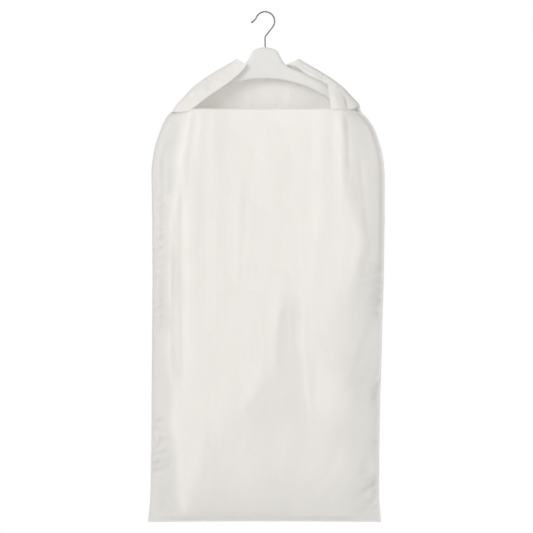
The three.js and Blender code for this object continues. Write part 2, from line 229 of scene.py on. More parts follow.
def full(x, z, soft):
    """1 where the film hangs full over something, 0 where it hangs by itself. soft widens the change."""
    x = x + SIDE_WANDER * wave_noise(x / 260.0, z / 170.0, seed=7, octaves=3)
    z = z + BELOW_WANDER * wave_noise(x / 150.0, z / 260.0, seed=8, octaves=3)
    left = ease((x - along(FULL_LEFT, z)) / soft, -FULL_SOFT, FULL_SOFT)
    right_soft = soft * (FULL_SOFT + FULL_RIGHT_SOFTER * ease(-z, *FULL_RIGHT_SOFTER_AT))
    right = ease((along(FULL_RIGHT, z) - x) / right_soft, -1.0, 1.0)
    below = ease((z - along(FULL_BELOW, x)) / soft, -FULL_BELOW_SOFT, FULL_BELOW_SOFT)
    return left * right * below * (1.0 - PART_DEPTH * parting(x, z, soft))


# Painted light and shade: the film is drawn greyer along its sides, in the lower right corner and low in the
# gap.
SIDE_PALENESS = 0.1
MIDDLE_PALENESS = 0.6  # painted light, added away from the sides and the bottom
MIDDLE_START = (40.0, 120.0)  # it comes in between these distances from the sides
MIDDLE_BOTTOM = (-1330.0, -1150.0)  # and between these heights
CORNER_SHADE = 0.9  # what the lower right corner loses of it
CORNER_SHADE_AT = (1470.0, 1570.0)  # distance to the right plus depth, where that sets in
PART_SHADE = 0.35  # what the gap loses low down
PART_SHADE_AT = (-1120.0, -980.0)
PALENESS_WAVE = 0.06


def paleness(x, z):
    """How pale the film looks, as painted light and shade: palest with something behind it, least in the
    corners and along the sides, where shade is painted.
    """
    in_from_side = half_width(z) - np.abs(x - centre_x(z))
    middle = ease(in_from_side, *MIDDLE_START) * ease(z, *MIDDLE_BOTTOM)
    by_itself = SIDE_PALENESS + MIDDLE_PALENESS * middle
    by_itself *= 1.0 - CORNER_SHADE * ease(x - z, *CORNER_SHADE_AT)
    by_itself -= PART_SHADE * parting(x, z, 1.0) * ease(z, *PART_SHADE_AT)
    by_itself += PALENESS_WAVE * wave_noise(x / 130.0, z / 170.0, seed=9, octaves=3)
    cover = full(x, z, 1.0)
    return np.clip(cover + (1.0 - cover) * by_itself, 0.0, 1.0)


SIDE_ROUNDING = 105.0  # the film curves away from the side welds over this width
BOTTOM_ROUNDING = 330.0
GENTLER = 0.8  # added to that rounding's exponent low on the right
GENTLER_RIGHT = (100.0, 200.0)  # from between these distances to the right
GENTLER_LOW = (620.0, 820.0)  # and these depths below the hook's top
SLACK_DEPTH = 0.66  # share of the depth that is left where nothing fills the bag


def depth(x, z):
    """Share of the bag's full depth at a point: 0 on the welds. Low on the right it rises more gently."""
    from_side = half_width(z) - np.abs(x - centre_x(z)) - WELD
    gentle = ease(x, *GENTLER_RIGHT) * ease(-z, *GENTLER_LOW)
    side = quarter_ellipse(from_side / SIDE_ROUNDING) ** (1.0 + GENTLER * gentle)
    bottom = quarter_ellipse((z - BAG_BOTTOM - WELD) / BOTTOM_ROUNDING)
    return side * bottom * (SLACK_DEPTH + (1.0 - SLACK_DEPTH) * full(x, z, FULL_WIDER))


# ---- Film sheets as grids of points, row 0 at the top ----
FRONT_DEPTH = 37.0
BACK_DEPTH = 29.0
ROW_SPACING = 9.0
SHEET_COLUMNS = 66
MARGIN_STEPS = (0.0, 0.5, 1.0)  # columns and rows within the welded margin, as shares of its width


def margin_and_middle(count):
    """Positions across a sheet from 0 to 1, as (share of the middle, margin widths from the nearer edge)."""
    margin = [(0.0, step - 1.0) for step in MARGIN_STEPS[:-1]]
    middle = [(i / count, 0.0) for i in range(count + 1)]
    far = [(1.0, -m) for _, m in reversed(margin)]
    return margin + middle + far


def sheet_grid(side, top):
    """The draped form by formula of the front or the back sheet, from its top edge to the bottom weld."""
    columns = margin_and_middle(SHEET_COLUMNS)
    row_count = round((top - BAG_BOTTOM) / ROW_SPACING)
    heights = np.linspace(top, BAG_BOTTOM + WELD, row_count)
    heights = np.append(heights, [BAG_BOTTOM + WELD / 2.0, BAG_BOTTOM])
    grid = np.zeros((len(heights), len(columns), 3))
    for column, (share, margins) in enumerate(columns):
        inner = half_width(heights) - WELD
        x = centre_x(heights) + inner * (2.0 * share - 1.0) + margins * WELD
        grid[:, column, 0] = x
        grid[:, column, 2] = heights
    x, z = grid[:, :, 0], grid[:, :, 2]
    full_depth = FRONT_DEPTH if side == FRONT else BACK_DEPTH
    edge = np.sign(x - centre_x(z))
    at_side = ease(np.abs(x - centre_x(z)), half_width(z) - FLUTTER_WIDTH, half_width(z) - WELD)
    hang = flutter(z, 1.0) * at_side * (edge > 0) + flutter(z, -1.0) * at_side * (edge < 0)
    grid[:, :, 1] = weld_plane(x, z) + side * (SHEET_GAP / 2.0 + full_depth * depth(x, z)) + hang
    return grid


def upsample(grid):
    """Twice as many points each way, by a cubic through the old ones."""
    for axis in (0, 1):
        g = np.moveaxis(grid, axis, 0)
        before = np.concatenate([2.0 * g[:1] - g[1:2], g[:-1]])[:-1]
        after = np.concatenate([g[1:], 2.0 * g[-1:] - g[-2:-1]])[1:]
        between = (9.0 * (g[:-1] + g[1:]) - before - after) / 16.0
        out = np.empty((2 * len(g) - 1,) + g.shape[1:])
        out[0::2] = g
        out[1::2] = between
        grid = np.moveaxis(out, 0, axis)
    return grid


def grid_faces(index):
    """The quads between the points of a grid, whose indices are given."""
    corners = (index[:-1, :-1], index[1:, :-1], index[1:, 1:], index[:-1, 1:])
    return np.stack(corners, axis=-1).reshape(-1, 4)


def new_object(name, points, faces):
    """points are in millimetres."""
    mesh = bpy.data.meshes.new(name)
    mesh.from_pydata((np.asarray(points) * METRES).tolist(), [], [list(map(int, face)) for face in faces])
    mesh.shade_smooth()
    obj = bpy.data.objects.new(name, mesh)
    bpy.context.scene.collection.objects.link(obj)
    return obj


def outward_normals(grid, side):
    """The sheet's normals out of the bag, and whether its rows and columns run the other way round."""
    normal = np.cross(np.gradient(grid, axis=0), np.gradient(grid, axis=1))
    normal /= np.linalg.norm(normal, axis=2, keepdims=True)
    turned = np.sign(normal[:, :, 1].mean()) != side
    return (-normal if turned else normal), turned


def closed_sheet(name, grid, side):
    """A film sheet with its thickness. The grid is its inner face."""
    normal, turned = outward_normals(grid, side)
    outer_points = grid + FILM * normal
    inner = np.arange(grid.shape[0] * grid.shape[1]).reshape(grid.shape[:2])
    outer = inner + inner.size
    rim = np.concatenate([inner[0, :], inner[1:, -1], inner[-1, -2::-1], inner[-2::-1, 0]])
    rim_faces = np.stack([rim[:-1], rim[1:], rim[1:] + inner.size, rim[:-1] + inner.size], axis=-1)
    faces = np.concatenate([grid_faces(outer), grid_faces(inner)[:, ::-1], rim_faces])
    if turned:
        faces = faces[:, ::-1]
    obj = new_object(name, np.concatenate([grid.reshape(-1, 3), outer_points.reshape(-1, 3)]), faces)
    smooth = np.arange(len(faces)) < len(faces) - len(rim_faces)
    obj.data.polygons.foreach_set("use_smooth", smooth)
    return obj


def set_attribute(obj, name, values):
    """values are given over a sheet's grid, and hold for both of its faces."""
    attribute = obj.data.attributes.new(name, "FLOAT", "POINT")
    attribute.data.foreach_set("value", np.tile(np.asarray(values, np.float32).ravel(), 2))


# ---- Cloth ----
CLOTH_FRAMES = 22
CLOTH_WIDER = 1.012  # its true size, as shares of the form it starts from
CLOTH_LONGER = 1.004
CLOTH_CAP = 9.0


def relax_as_cloth(grid, pinned):
    """Lets a sheet buckle between its pins, as cloth that is truly a little larger than the form it starts
    from. No point ends up more than CLOTH_CAP from where it began."""
    rows, columns = grid.shape[:2]
    faces = grid_faces(np.arange(rows * columns).reshape(rows, columns))
    obj = new_object("cloth_form", grid.reshape(-1, 3), faces)
    pins = obj.vertex_groups.new(name="pins")
    weights = pinned.ravel()
    for index in np.flatnonzero(weights > 0):
        pins.add([int(index)], float(weights[index]), "REPLACE")
    obj.shape_key_add(name="Basis")
    true_size = obj.shape_key_add(name="true_size")
    stretched = grid.copy()
    stretched[:, :, 0] *= CLOTH_WIDER
    stretched[:, :, 2] *= CLOTH_LONGER
    true_size.data.foreach_set("co", (stretched.reshape(-1) * METRES).astype(np.float32))
    true_size.value = 0.0
    cloth = obj.modifiers.new("Cloth", "CLOTH")
    settings = cloth.settings
    settings.rest_shape_key = true_size
    settings.vertex_group_mass = "pins"
    settings.quality = 6
    settings.mass = 0.1
    settings.tension_stiffness = 20.0
    settings.compression_stiffness = 20.0
    settings.shear_stiffness = 8.0
    settings.bending_stiffness = 0.08
    settings.tension_damping = 10.0
    settings.compression_damping = 10.0
    settings.shear_damping = 10.0
    settings.bending_damping = 0.5
    settings.air_damping = 3.0
    settings.effector_weights.gravity = 0.35
    cloth.collision_settings.use_collision = False
    scene = bpy.context.scene
    cloth.point_cache.frame_start = 1
    cloth.point_cache.frame_end = CLOTH_FRAMES
    for step in range(1, CLOTH_FRAMES + 1):
        scene.frame_set(step)
    evaluated = obj.evaluated_get(bpy.context.evaluated_depsgraph_get())
    moved = np.empty(rows * columns * 3, np.float32)
    evaluated.data.vertices.foreach_get("co", moved)
    bpy.data.objects.remove(obj)
    moved = moved.reshape(rows, columns, 3) / METRES
    travel = moved - grid
    distance = np.linalg.norm(travel, axis=2, keepdims=True)
    limit = CLOTH_CAP * np.tanh(distance / CLOTH_CAP)
    return grid + travel * limit / np.maximum(distance, 1e-6)


def pin_weights(grid):
    """1 on the welded margin and on the top edge, 0 in the middle of the sheet."""
    weights = np.zeros(grid.shape[:2])
    edge = len(MARGIN_STEPS)
    weights[:, :edge] = 1.0
    weights[:, -edge:] = 1.0
    weights[-edge:, :] = 1.0
    weights[0, :] = 1.0
    return weights


# ---- Folds ----
SEGMENT_RISE = 0.3  # share of a segment's length over which its ends rise
SEGMENT_FALL = 1.5  # how steeply it falls off sideways


def inside_welds(x, z, reach):
    """0 on the welds, 1 from reach inside them."""
    from_side = half_width(z) - WELD - np.abs(x - centre_x(z))
    from_bottom = z - BAG_BOTTOM - WELD
    return ease(from_side, 0.0, reach) * ease(from_bottom, 0.0, reach)


def segment_shape(x, z, start, end, width):
    """1 along a segment in the XZ plane, falling off over width to each side and past its ends."""
    start, end = np.array(start), np.array(end)
    length = np.linalg.norm(end - start)
    direction = (end - start) / length
    dx, dz = x - start[0], z - start[1]
    t = dx * direction[0] + dz * direction[1]
    across = dx * direction[1] - dz * direction[0]
    ends = ease(t, -width, SEGMENT_RISE * length) * ease(length - t, -width, SEGMENT_RISE * length)
    return ends / (1.0 + (across / width) ** 2) ** SEGMENT_FALL


FOLD_FADE = 14.0  # folds die away over this width beside a weld


def add_folds(grid, folds, side):
    """Adds ridges that stand out from the bag, or valleys where the height is negative."""
    x, z = grid[:, :, 0], grid[:, :, 2]
    lift = np.zeros_like(x)
    for start, end, width, height in folds:
        lift += height * segment_shape(x, z, start, end, width)
    grid[:, :, 1] += side * lift * inside_welds(x, z, FOLD_FADE)


PUCKERS = (  # (side, top, bottom, height) of each run of puckers beside a weld
    (LEFT, -430.0, -520.0, 3.0),
    (LEFT, -540.0, -680.0, 6.0),
    (LEFT, -740.0, -820.0, 6.0),
    (LEFT, -1040.0, -1190.0, 7.5),
    (RIGHT, -640.0, -780.0, 8.5),
    (RIGHT, -930.0, -1030.0, 6.5),
    (RIGHT, -1090.0, -1150.0, 6.0),
    (RIGHT, -1190.0, -1270.0, 8.5),
)
PUCKER_SLANT = 0.4  # they rise to the right by this much
PUCKER_SPACING = 26.0
PUCKER_REACH = 20.0  # they die away about this far from the weld
PUCKER_FADE = 25.0  # and over this height at the ends of a run
PUCKER_IN_WELD = 0.25  # share of their height that is left within the weld
PUCKER_WELD_FADE = 8.0  # the rest comes in over this width beside it
PUCKER_UNEVEN = 1.4  # how unevenly they are spaced
PUCKER_UNEVEN_LENGTH = 90.0


def add_puckers(grid):
    """Short slanted ridges where the weld has drawn the film in, the same in both sheets."""
    x, z = grid[:, :, 0], grid[:, :, 2]
    from_side = half_width(z) - WELD - np.abs(x - centre_x(z))
    along_weld = (z - PUCKER_SLANT * x) / PUCKER_SPACING
    uneven = wave_noise(z / PUCKER_UNEVEN_LENGTH, x / PUCKER_UNEVEN_LENGTH, seed=22, octaves=2)
    wave = np.sin(math.pi * along_weld + PUCKER_UNEVEN * uneven)
    ridges = 1.0 - 2.0 * np.sqrt(np.abs(wave))
    lift = np.zeros_like(x)
    for where, top, bottom, height in PUCKERS:
        run = ease(z, bottom - PUCKER_FADE, bottom + PUCKER_FADE)
        run *= ease(-z, -top - PUCKER_FADE, -top + PUCKER_FADE)
        beside = (np.sign(x - centre_x(z)) == where) * np.exp(-np.maximum(from_side, 0.0) / PUCKER_REACH)
        lift += height * run * beside
    beyond_weld = (1.0 - PUCKER_IN_WELD) * ease(from_side, 0.0, PUCKER_WELD_FADE)
    grid[:, :, 1] -= lift * ridges * (PUCKER_IN_WELD + beyond_weld)


CRUMPLE = 3.0
CRUMPLE_MIDDLE = 0.35  # taken off, so that it goes both ways
CRUMPLE_FADE = 30.0  # it dies away over this width beside a weld


def crumple(grid, side, seed):
    """Slight creasing of film that has been folded for packing."""
    x, z = grid[:, :, 0], grid[:, :, 2]
    sharp = np.abs(wave_noise(x / 210.0, z / 330.0, seed, octaves=3)) - CRUMPLE_MIDDLE
    grid[:, :, 1] += side * CRUMPLE * sharp * inside_welds(x, z, CRUMPLE_FADE)


# ---- Materials ----
def node_tree(name):
    """A new material, its nodes and links, its surface socket and the object's own coordinates."""
    material = bpy.data.materials.new(name)
    material.use_nodes = True
    nodes = material.node_tree.nodes
    nodes.clear()
    out = nodes.new("ShaderNodeOutputMaterial")
    place = nodes.new("ShaderNodeTexCoord").outputs["Object"]
    return material, nodes, material.node_tree.links, out.inputs["Surface"], place


def math_node(nodes, links, operation, first, second):
    """first and second are sockets or numbers."""
    node = nodes.new("ShaderNodeMath")
    node.operation = operation
    for socket, value in zip(node.inputs, (first, second)):
        if isinstance(value, (int, float)):
            socket.default_value = value
        else:
            links.new(value, socket)
    return node.outputs[0]


def noise_node(nodes, links, vector, scale, detail, roughness=0.5):
    node = nodes.new("ShaderNodeTexNoise")
    node.inputs["Scale"].default_value = scale
    node.inputs["Detail"].default_value = detail
    node.inputs["Roughness"].default_value = roughness
    links.new(vector, node.inputs["Vector"])
    return node.outputs["Fac"]


def colour_mix(nodes, links, factor, first, second):
    """first and second are sockets or colours."""
    node = nodes.new("ShaderNodeMix")
    node.data_type = "RGBA"
    links.new(factor, node.inputs["Factor"])
    for socket, value in ((node.inputs[6], first), (node.inputs[7], second)):
        if isinstance(value, tuple):
            socket.default_value = (*value, 1.0)
        else:
            links.new(value, socket)
    return node.outputs[2]


FILM_PAINTED_LIT = (0.945, 0.930, 0.905)  # painted light: the film's tone with something behind it
# painted shade: the same film where it hangs by itself, greyer
FILM_PAINTED_SHADE = (0.872, 0.860, 0.838)
FILM_WELD = (0.88, 0.87, 0.855)
LACQUER_DARKER = (0.65, 0.645, 0.62)
LACQUER = (0.70, 0.695, 0.67)
WIRE_COLOUR = (0.18, 0.177, 0.17)
SLEEVE_COLOUR = (0.62, 0.6, 0.56)
METAL_DARKER = 0.8  # darker patches of a metal, as a share of its colour
METAL_UNEVEN = 0.12  # how much rougher a metal is in places
MOTTLE = 0.35  # how much paler the film is in places
MOTTLE_MIDDLE = -0.17  # added, so that it goes both ways
CRINKLE = 6.0  # height of the film's crinkles over its frosting's
TRANSLUCENCE = 0.44  # share of light that each face of the film passes on, scattered
SHEER = 0.05  # share that goes straight through


def film_tone(nodes, links, place):
    """Paler or greyer by the sheet's own attributes, with some mottling. The paleness attribute holds
    painted light and shade.
    """
    pale = nodes.new("ShaderNodeAttribute")
    pale.attribute_name = "paleness"
    weld = nodes.new("ShaderNodeAttribute")
    weld.attribute_name = "weld"
    mottle = noise_node(nodes, links, place, scale=9.0, detail=3.0)
    shaded = math_node(nodes, links, "MULTIPLY_ADD", mottle, MOTTLE)
    shaded.node.inputs[2].default_value = MOTTLE_MIDDLE
    amount = math_node(nodes, links, "ADD", pale.outputs["Fac"], shaded)
    amount.node.use_clamp = True
    tone = colour_mix(nodes, links, amount, FILM_PAINTED_SHADE, FILM_PAINTED_LIT)
    return colour_mix(nodes, links, weld.outputs["Fac"], tone, FILM_WELD)


def film_relief(nodes, links, place):
    """Fine frosting with larger crinkles."""
    grain = noise_node(nodes, links, place, scale=900.0, detail=2.0)
    crinkle = noise_node(nodes, links, place, scale=60.0, detail=4.0, roughness=0.6)
    height = math_node(nodes, links, "MULTIPLY_ADD", crinkle, CRINKLE)
    links.new(grain, height.node.inputs[2])
    bump = nodes.new("ShaderNodeBump")
    bump.inputs["Strength"].default_value = 0.25
    bump.inputs["Distance"].default_value = 0.0004
    links.new(height, bump.inputs["Height"])
    return bump.outputs["Normal"]


def film_material():
    material, nodes, links, out, place = node_tree("milky_film")
    tone = film_tone(nodes, links, place)
    relief = film_relief(nodes, links, place)
    surface = nodes.new("ShaderNodeBsdfPrincipled")
    surface.inputs["Roughness"].default_value = 0.4
    surface.inputs["IOR"].default_value = 1.5
    surface.inputs["Specular IOR Level"].default_value = 0.45
    links.new(tone, surface.inputs["Base Color"])
    links.new(relief, surface.inputs["Normal"])
    through = nodes.new("ShaderNodeBsdfTranslucent")
    links.new(tone, through.inputs["Color"])
    links.new(relief, through.inputs["Normal"])
    milky = nodes.new("ShaderNodeMixShader")
    milky.inputs["Fac"].default_value = TRANSLUCENCE
    links.new(surface.outputs["BSDF"], milky.inputs[1])
    links.new(through.outputs["BSDF"], milky.inputs[2])
    clear = nodes.new("ShaderNodeBsdfTransparent")
    sheer = nodes.new("ShaderNodeMixShader")
    sheer.inputs["Fac"].default_value = SHEER
    links.new(milky.outputs["Shader"], sheer.inputs[1])
    links.new(clear.outputs["BSDF"], sheer.inputs[2])
    links.new(sheer.outputs["Shader"], out)
    return material


def lacquer_material():
    material, nodes, links, out, place = node_tree("white_lacquer")
    surface = nodes.new("ShaderNodeBsdfPrincipled")
    patches = noise_node(nodes, links, place, scale=30.0, detail=3.0)
    tone = colour_mix(nodes, links, patches, LACQUER_DARKER, LACQUER)
    links.new(tone, surface.inputs["Base Color"])
    surface.inputs["Roughness"].default_value = 0.38
    bump = nodes.new("ShaderNodeBump")
    bump.inputs["Strength"].default_value = 0.15
    bump.inputs["Distance"].default_value = 0.0002
    links.new(noise_node(nodes, links, place, scale=420.0, detail=3.0), bump.inputs["Height"])
    links.new(bump.outputs["Normal"], surface.inputs["Normal"])
    links.new(surface.outputs["BSDF"], out)
    return material


def metal_material(name, colour, roughness):
    material, nodes, links, out, place = node_tree(name)
    surface = nodes.new("ShaderNodeBsdfPrincipled")
    surface.inputs["Metallic"].default_value = 1.0
    darker = tuple(METAL_DARKER * share for share in colour)
    patches = noise_node(nodes, links, place, scale=160.0, detail=3.0)
    tone = colour_mix(nodes, links, patches, darker, colour)
    links.new(tone, surface.inputs["Base Color"])
    grain = noise_node(nodes, links, place, scale=500.0, detail=2.0)
    uneven = math_node(nodes, links, "MULTIPLY_ADD", grain, METAL_UNEVEN)
    uneven.node.inputs[2].default_value = roughness
    links.new(uneven, surface.inputs["Roughness"])
    links.new(surface.outputs["BSDF"], out)
    return material


film = film_material()
lacquer = lacquer_material()
wire_metal = metal_material("drawn_wire", WIRE_COLOUR, 0.24)
sleeve_metal = metal_material("nickel_sleeve", SLEEVE_COLOUR, 0.3)


# ---- The two sheets ----
def weld_share(grid):
    """1 within the welded margin."""
    x, z = grid[:, :, 0], grid[:, :, 2]
    from_side = half_width(z) - np.abs(x - centre_x(z))
    from_bottom = z - BAG_BOTTOM
    return 1.0 - ease(np.minimum(from_side, from_bottom), WELD - 1.0, WELD + 1.0)


HANGER_CLEARANCE = 2.0
CLEAR_REACH = 12.0  # inside the weld, the film gets clear over this width
TIP_CLEAR_REACH = 4.5  # the same beside the hanger's tips, which come close to the weld
TIP_CLEAR_AT = (190.0, 218.0)  # sideways, between the two
OVER_HANGER_BELOW = (hanger_low[2] - 18.0, hanger_low[2] - 2.0)  # heights where it sets in
OVER_HANGER_TIP = (-8.0, 5.0)  # the same, as distances inside the tips


def keep_clear_of_hanger(grid, side):
    """Keeps a sheet off the hanger's face where it passes over it. Its outermost edge stays in the weld."""
    x, z = grid[:, :, 0], grid[:, :, 2]
    reach = CLEAR_REACH + (TIP_CLEAR_REACH - CLEAR_REACH) * ease(np.abs(x), *TIP_CLEAR_AT)
    inside = quarter_ellipse(np.minimum(x - x[:, :1], x[:, -1:] - x) / reach)
    face = -plan_sag(np.minimum(np.abs(x), HANGER_TIP)) + side * (HANGER_HALF_THICKNESS + HANGER_CLEARANCE)
    over = ease(z, *OVER_HANGER_BELOW)
    over *= ease(HANGER_TIP - np.abs(x), *OVER_HANGER_TIP)
    gap = side * (grid[:, :, 1] - face)
    grid[:, :, 1] += side * np.maximum(-gap, 0.0) * inside * over


FRONT_FOLDS = (  # (start, end, width, height)
    # beside what hangs inside, down the left
    ((-240.0, -480.0), (-241.0, -1010.0), 7.0, 9.0),
    ((-214.0, -400.0), (-210.0, -980.0), 9.0, -7.0),
    ((-258.0, -330.0), (-262.0, -960.0), 8.0, -5.5),
    # from the right tip of the hanger
    ((207.0, -251.0), (216.0, -420.0), 6.0, -4.5),
    ((192.0, -251.0), (200.0, -520.0), 8.0, 3.0),
    ((238.0, -330.0), (266.0, -600.0), 8.0, -3.5),
    # soft hanging folds in the middle
    ((-60.0, -380.0), (-76.0, -760.0), 9.0, 1.6),
    ((-44.0, -400.0), (-58.0, -700.0), 7.0, -1.2),
    ((80.0, -520.0), (90.0, -720.0), 8.0, -1.6),
    ((130.0, -560.0), (122.0, -700.0), 10.0, 1.4),
    # the corners at the bottom weld
    ((296.0, -1212.0), (228.0, -1246.0), 7.0, -4.0),
    ((300.0, -1235.0), (236.0, -1300.0), 10.0, -4.5),
    ((296.0, -1160.0), (246.0, -1185.0), 6.0, -3.0),
    ((-300.0, -1210.0), (-225.0, -1300.0), 11.0, -4.0),
)


MOUTH_DROOP = 5.0  # of the mouth's edge beside its right end
MOUTH_DROOP_AT = 232.0
MOUTH_DROOP_WIDTH = 20.0
MOUTH_DROOP_FADE = 60.0  # the film takes it up over this height


def finish_sheet(name, grid, side, pale, panel):
    """Makes the object of a bag's sheet in place of its CAD panel."""
    obj = closed_sheet(name, grid, side)
    set_attribute(obj, "paleness", pale)
    set_attribute(obj, "weld", weld_share(grid))
    obj.data.materials.append(film)
    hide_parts(panel)
    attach(obj, "bag")
    return obj


def make_front_sheet():
    grid = sheet_grid(FRONT, MOUTH)
    top = ease(grid[:, :, 2], MOUTH - MOUTH_DROOP_FADE, MOUTH)
    grid[:, :, 2] -= MOUTH_DROOP * top * np.exp(-((grid[:, :, 0] - MOUTH_DROOP_AT) / MOUTH_DROOP_WIDTH) ** 2)
    grid = relax_as_cloth(grid, pin_weights(grid))
    grid = upsample(grid)
    add_folds(grid, FRONT_FOLDS, FRONT)
    add_puckers(grid)
    crumple(grid, FRONT, seed=3)
    keep_clear_of_hanger(grid, FRONT)
    # painted light and shade on the front film
    pale = paleness(grid[:, :, 0], grid[:, :, 2])
    return finish_sheet("front_film", grid, FRONT, pale, "front_panel")


NECK_DIP = 20.0  # of the back's top edge in its middle
NECK_DIP_FADE = 90.0  # the film takes it up over this height
BACK_PALENESS = 0.75  # of the back film, as a share of the front's; painted shade, since the back is the same film
MOUTH_SHADE = 0.45  # how much less pale it is where it shows in the mouth
MOUTH_SHADE_AT = (MOUTH - 40.0, MOUTH)  # heights where that sets in
HELD_AT = (MOUTH - 80.0, MOUTH + 10.0)  # heights where the cloth is held more and more


def make_back_sheet():
    grid = sheet_grid(BACK, NECK_PEAK)
    x, z = grid[:, :, 0], grid[:, :, 2]
    across = (x[:1] - centre_x(NECK_PEAK)) / half_width(NECK_PEAK)
    drop = NECK_DIP * (1.0 - across**2)
    grid[:, :, 2] -= drop * (1.0 - ease(-z, -NECK_PEAK, -NECK_PEAK + NECK_DIP_FADE))
    held = np.maximum(pin_weights(grid), ease(grid[:, :, 2], *HELD_AT))
    grid = relax_as_cloth(grid, held)
    grid = upsample(grid)
    add_puckers(grid)
    crumple(grid, BACK, seed=5)
    keep_clear_of_hanger(grid, BACK)
    x, z = grid[:, :, 0], grid[:, :, 2]
    # painted shade: the back film drawn greyer than the front, and greyer still in the mouth
    pale = paleness(x, z) * (BACK_PALENESS - MOUTH_SHADE * ease(z, *MOUTH_SHADE_AT))
    finish_sheet("back_film", grid, BACK, pale, "back_panel")


front_film = make_front_sheet()
make_back_sheet()


# ---- Corner pieces: a strip over the hanger's arm and the flap beyond its fold ----
def polyline(points, t):
    """Points along a polyline at shares t of its length."""
    points = np.array(points)
    steps = np.linalg.norm(np.diff(points, axis=0), axis=1)
    reach = np.concatenate([[0.0], np.cumsum(steps)]) / steps.sum()
    return np.stack([np.interp(t, reach, points[:, k]) for k in range(points.shape[1])], axis=1)


CORNER_COLUMNS = 90
CORNER_ROWS = 44
FOLD_SHARE = 0.42  # where the fold runs, from the seam to the free edge
EDGE_SMOOTHING = 6  # passes that round a free edge's corners
SEAM_POINTS = 400  # on a seam's outline
# Where something sets in and is complete, as shares along a piece, or across it from its seam.
OVER_FRONT_AT = (0.86, 0.95)  # the seam passes in front of the front sheet's edge
END_DROP_AT = (0.75, 1.0)
END_DROP_ACROSS = (0.0, 0.3)
PUSH_AT = (0.68, 0.92)  # the film comes forward over the front sheet
RELIEF_ACROSS = (0.03, 0.25)  # creases and waves


def corner_seam(side, end, t):
    """Along the shoulder's outline from the neck's peak down to the corner piece's end, as (x, z)."""
    top_angle = math.asin((NECK_PEAK - SHOULDER_SPRING) / SHOULDER_RADIUS)
    end_angle = math.asin((end - SHOULDER_SPRING) / SHOULDER_RADIUS)
    heights = SHOULDER_SPRING + SHOULDER_RADIUS * np.sin(np.linspace(top_angle, end_angle, SEAM_POINTS))
    x = centre_x(heights) + side * half_width(heights)
    return polyline(np.stack([x, heights], axis=1), t)


def corner_grid(side, seam_end, end_drop, free_edge, free_forward):
    """Rows run from the seam to the free edge, whose points free_edge gives as (x, z). The film comes
    forward from the weld over the hanger's arm. end_drop bows its lower end downwards."""
    t = np.linspace(0.0, 1.0, CORNER_COLUMNS)
    seam = corner_seam(side, seam_end, t)
    free = polyline(free_edge, t)
    for _ in range(EDGE_SMOOTHING):
        free[1:-1] = (free[:-2] + 2.0 * free[1:-1] + free[2:]) / 4.0
    grid = np.zeros((CORNER_ROWS, CORNER_COLUMNS, 3))
    over_front = (SHEET_GAP / 2.0 + FILM) * ease(t, *OVER_FRONT_AT)
    weld_y = weld_plane(seam[:, 0], seam[:, 1]) - SHEET_GAP / 2.0 - over_front
    fold_y = -np.interp(t, [0.0, 1.0], FOLD_FORWARD)
    free_y = -np.interp(t, [0.0, 1.0], free_forward)
    for row in range(CORNER_ROWS):
        share = row / (CORNER_ROWS - 1)
        grid[row, :, 0] = seam[:, 0] + (free[:, 0] - seam[:, 0]) * share
        grid[row, :, 2] = seam[:, 1] + (free[:, 1] - seam[:, 1]) * share
        rise = quarter_ellipse(share / FOLD_SHARE)
        beyond = max(share - FOLD_SHARE, 0.0) / (1.0 - FOLD_SHARE)
        drop = end_drop * ease(t, *END_DROP_AT) * ease(share, *END_DROP_ACROSS) * (1.0 - share)
        grid[row, :, 2] -= drop
        grid[row, :, 1] = weld_y + (fold_y - weld_y) * rise + (free_y - fold_y) * beyond
    return grid


# How far a piece's fold and its free edge stand off, at the neck and at the lower end.
FOLD_FORWARD = (16.0, 40.0)
LEFT_FREE_FORWARD = (21.0, 47.0)
RIGHT_FREE_FORWARD = (21.0, 43.0)
RIGHT_END_DROP = 10.0
# Painted light on the left corner piece and painted shade on the right one, which is the same film.
LEFT_PALENESS = 0.95
RIGHT_PALENESS = 0.9
RIGHT_OUTER_SHADE = 0.7  # painted shade: how much less pale the right piece is towards its outer end
RIGHT_SHADE_AT = (165.0, 225.0)
LEFT_FREE_EDGE = ((-47.0, -137.0), (-64.0, -158.0), (-98.0, -187.0), (-142.0, -217.0), (-196.0, -259.0))
RIGHT_FREE_EDGE = (
    (54.0, -136.0), (78.0, -139.5), (98.0, -156.0), (116.0, -167.0), (142.0, -179.0), (160.0, -188.0),
    (163.0, -217.0), (166.0, -254.0),
)
RIGHT_SEAM_END = -243.0  # the right piece ends short of the mouth, which leaves a dark slot
LEFT_CORNER_FOLDS = (  # (start, end, width, height)
    ((-90.0, -134.0), (-215.0, -232.0), 4.0, 1.6),
    ((-84.0, -168.0), (-190.0, -250.0), 7.0, 1.8),
    ((-130.0, -170.0), (-150.0, -205.0), 6.0, -1.2),
)
RIGHT_CORNER_FOLDS = (
    ((150.0, -180.0), (169.0, -168.0), 2.6, 3.4),
    ((140.0, -172.0), (158.0, -160.0), 3.0, -2.4),
    ((182.0, -195.0), (203.0, -190.0), 3.0, -3.2),
    ((206.0, -216.0), (209.0, -258.0), 4.0, -4.5),
    ((222.0, -212.0), (232.0, -250.0), 5.0, 3.0),
    ((92.0, -146.0), (138.0, -170.0), 4.0, 2.0),
)


# Where the film's bend at the flap's fold would start and end, measured from the flap's axis towards the
# free edge. The points are found, but the film is not bent there.
LEFT_BEND = (5.5, 17.0)
RIGHT_BEND = (-6.0, 6.0)
CORNER_CLEARANCE = 1.0  # of a corner piece in front of the front sheet
LOWER_END = 0.8  # a piece can reach the front sheet from this share of its length on
CORNER_WAVE = 1.3
CORNER_WAVE_LENGTH = 90.0
CORNER_WELD = 0.8  # how strongly the weld shows on a corner piece


